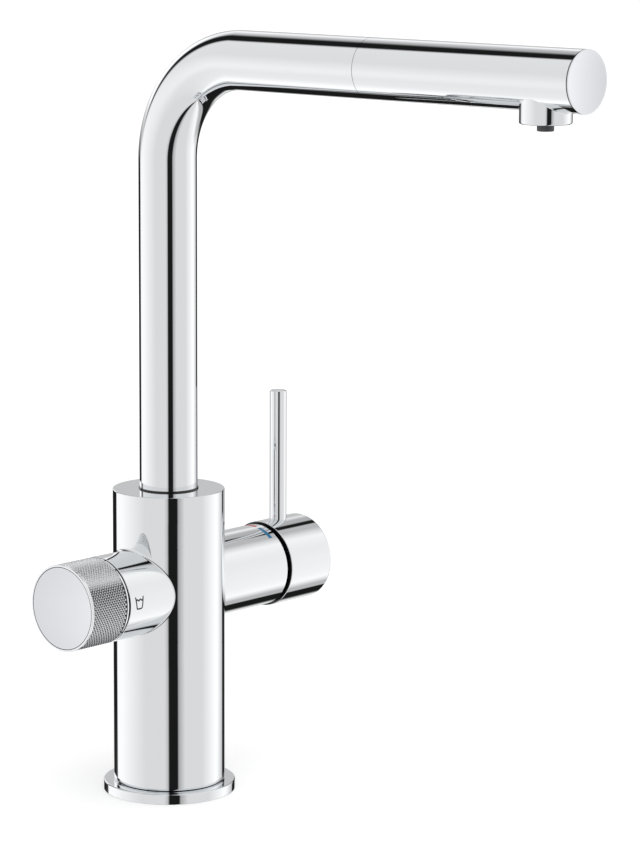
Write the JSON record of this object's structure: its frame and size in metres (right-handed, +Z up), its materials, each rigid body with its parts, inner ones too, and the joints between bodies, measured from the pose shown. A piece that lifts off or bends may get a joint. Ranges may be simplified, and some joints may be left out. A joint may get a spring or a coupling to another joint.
{
  "type": "water filter kitchen tap",
  "caption": "Kitchen tap for mixed and filtered water: upright body, side lever and side knob, L-shaped swivel spout with pull-out head.",
  "frame": {"origin": "centre of the base ring's underside, on the worktop plane and on the axis of the body", "axes": "+Z up along the body, -Y along the spout at rest, -X towards the filter knob, +X towards the mixer handle"},
  "size_m": [0.1541, 0.2597, 0.4088],
  "materials": {
    "chromed_brass": "polished chrome plating over brass",
    "raw_brass": "machined brass, unplated",
    "stainless_steel": "turned stainless steel",
    "alumina_ceramic": "lapped technical ceramic",
    "seal_rubber": "moulded black rubber",
    "black_plastic": "moulded black plastic",
    "acetal_plastic": "moulded white acetal",
    "grey_plastic": "moulded grey plastic",
    "dark_plastic": "moulded dark grey plastic"
  },
  "bodies": {
    "tap_body": {"mounting_shank": "raw_brass", "base_ring": "chromed_brass", "foot_gasket": "seal_rubber", "clamp_gasket": "seal_rubber", "clamp_washer": "stainless_steel", "clamp_nut": "raw_brass", "body_shell": "chromed_brass", "cartridge_base": "acetal_plastic", "cartridge_seals": "seal_rubber", "fixed_disc": "alumina_ceramic", "cartridge_housing": "acetal_plastic", "cartridge_nut": "raw_brass", "cover_ring": "black_plastic", "valve_body": "raw_brass", "valve_seal": "seal_rubber", "valve_fixed_disc": "alumina_ceramic", "swivel_ring_upper": "acetal_plastic", "spout_screw": "stainless_steel"},
    "mixer_core": {"mixer_turret": "acetal_plastic", "pivot_pin": "stainless_steel"},
    "mixer_handle": {"mixer_spindle": "stainless_steel", "handle_cap": "chromed_brass", "handle_lever": "chromed_brass", "handle_screw": "stainless_steel"},
    "sliding_disc": {"mixing_disc": "alumina_ceramic", "disc_carrier": "acetal_plastic"},
    "filter_control": {"valve_moving_disc": "alumina_ceramic", "valve_spindle": "raw_brass", "spindle_seal": "seal_rubber", "spindle_clip": "stainless_steel", "filter_knob": "chromed_brass", "knob_face": "chromed_brass", "knob_insert": "acetal_plastic", "knob_screw": "stainless_steel"},
    "spout": {"spout_tube": "chromed_brass", "spout_foot": "raw_brass", "swivel_ring_lower": "acetal_plastic", "dock_sleeve": "acetal_plastic"},
    "pull_out_head": {"head_shell": "chromed_brass", "head_waterway": "acetal_plastic", "hose_connector": "raw_brass", "non_return_valves": "acetal_plastic", "aerator_housing": "grey_plastic", "aerator_screen": "grey_plastic", "outlet_seal": "seal_rubber", "filtered_nozzle": "dark_plastic"}
  },
  "joints": [
    {"name": "spout_swivel", "type": "hinge", "parent": "tap_body", "child": "spout", "pos_m": [0, 0, 0.1375], "axis": [0, 0, 1], "range_deg": [-75, 75]},
    {"name": "head_pull", "type": "slide", "parent": "spout", "child": "pull_out_head", "axis": [0, -1, 0], "range_m": [0, 0.045]},
    {"name": "mixer_temperature", "type": "hinge", "parent": "tap_body", "child": "mixer_core", "pos_m": [0.033, 0, 0.0934], "axis": [1, 0, 0], "range_deg": [-45, 45]},
    {"name": "mixer_flow", "type": "hinge", "parent": "mixer_core", "child": "mixer_handle", "pos_m": [0.042, 0, 0.0934], "axis": [0, 1, 0], "range_deg": [0, 20]},
    {"name": "disc_slide", "type": "slide", "parent": "mixer_core", "child": "sliding_disc", "axis": [0, 0, 1], "range_m": [0, 0.004]},
    {"name": "filter_turn", "type": "hinge", "parent": "tap_body", "child": "filter_control", "pos_m": [-0.0435, 0, 0.0934], "axis": [1, 0, 0], "range_deg": [0, 90]}
  ],
  "couplings": [
    {"joint": "disc_slide", "follows": "mixer_flow", "m_per_rad": 0.011}
  ]
}
